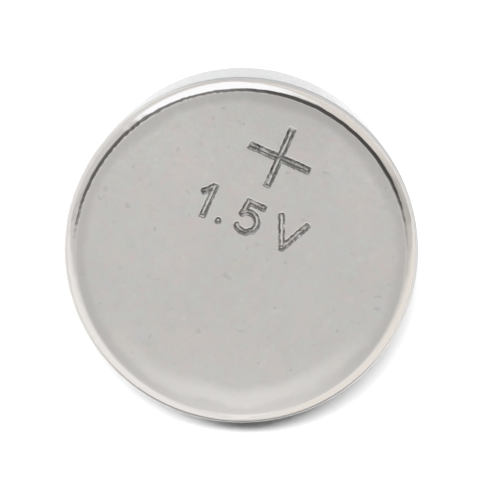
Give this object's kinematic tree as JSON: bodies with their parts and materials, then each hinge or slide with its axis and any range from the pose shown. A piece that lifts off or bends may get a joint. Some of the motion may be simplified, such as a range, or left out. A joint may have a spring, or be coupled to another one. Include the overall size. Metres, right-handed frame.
{
  "type": "button cell battery",
  "caption": "Small round alkaline button cell with a flat stamped positive terminal, a plain side wall, and a smaller stepped negative terminal set in an insulating ring.",
  "frame": {"origin": "centre of the flat outer face of the negative terminal, on the plane that the cell stands on", "axes": "+Z along the cell's axis, out of the positive terminal; +Y towards the top of the stamped polarity mark; +X to its right"},
  "size_m": [0.0078, 0.0078, 0.0036],
  "materials": {
    "nickel_plated_steel": "satin",
    "nickel_clad_cap": "satin",
    "gasket_nylon": "satin",
    "zinc_gel": "satin",
    "nonwoven": "matte",
    "cellophane": "gloss",
    "ring_steel": "satin",
    "cathode_mix": "matte"
  },
  "bodies": {
    "root": {"cathode_can": "nickel_plated_steel", "anode_cap": "nickel_clad_cap", "sealing_gasket": "gasket_nylon", "anode_gel": "zinc_gel", "absorbent_separator": "nonwoven", "barrier_film": "cellophane", "cathode_ring": "ring_steel", "cathode_pellet": "cathode_mix"}
  },
  "joints": []
}
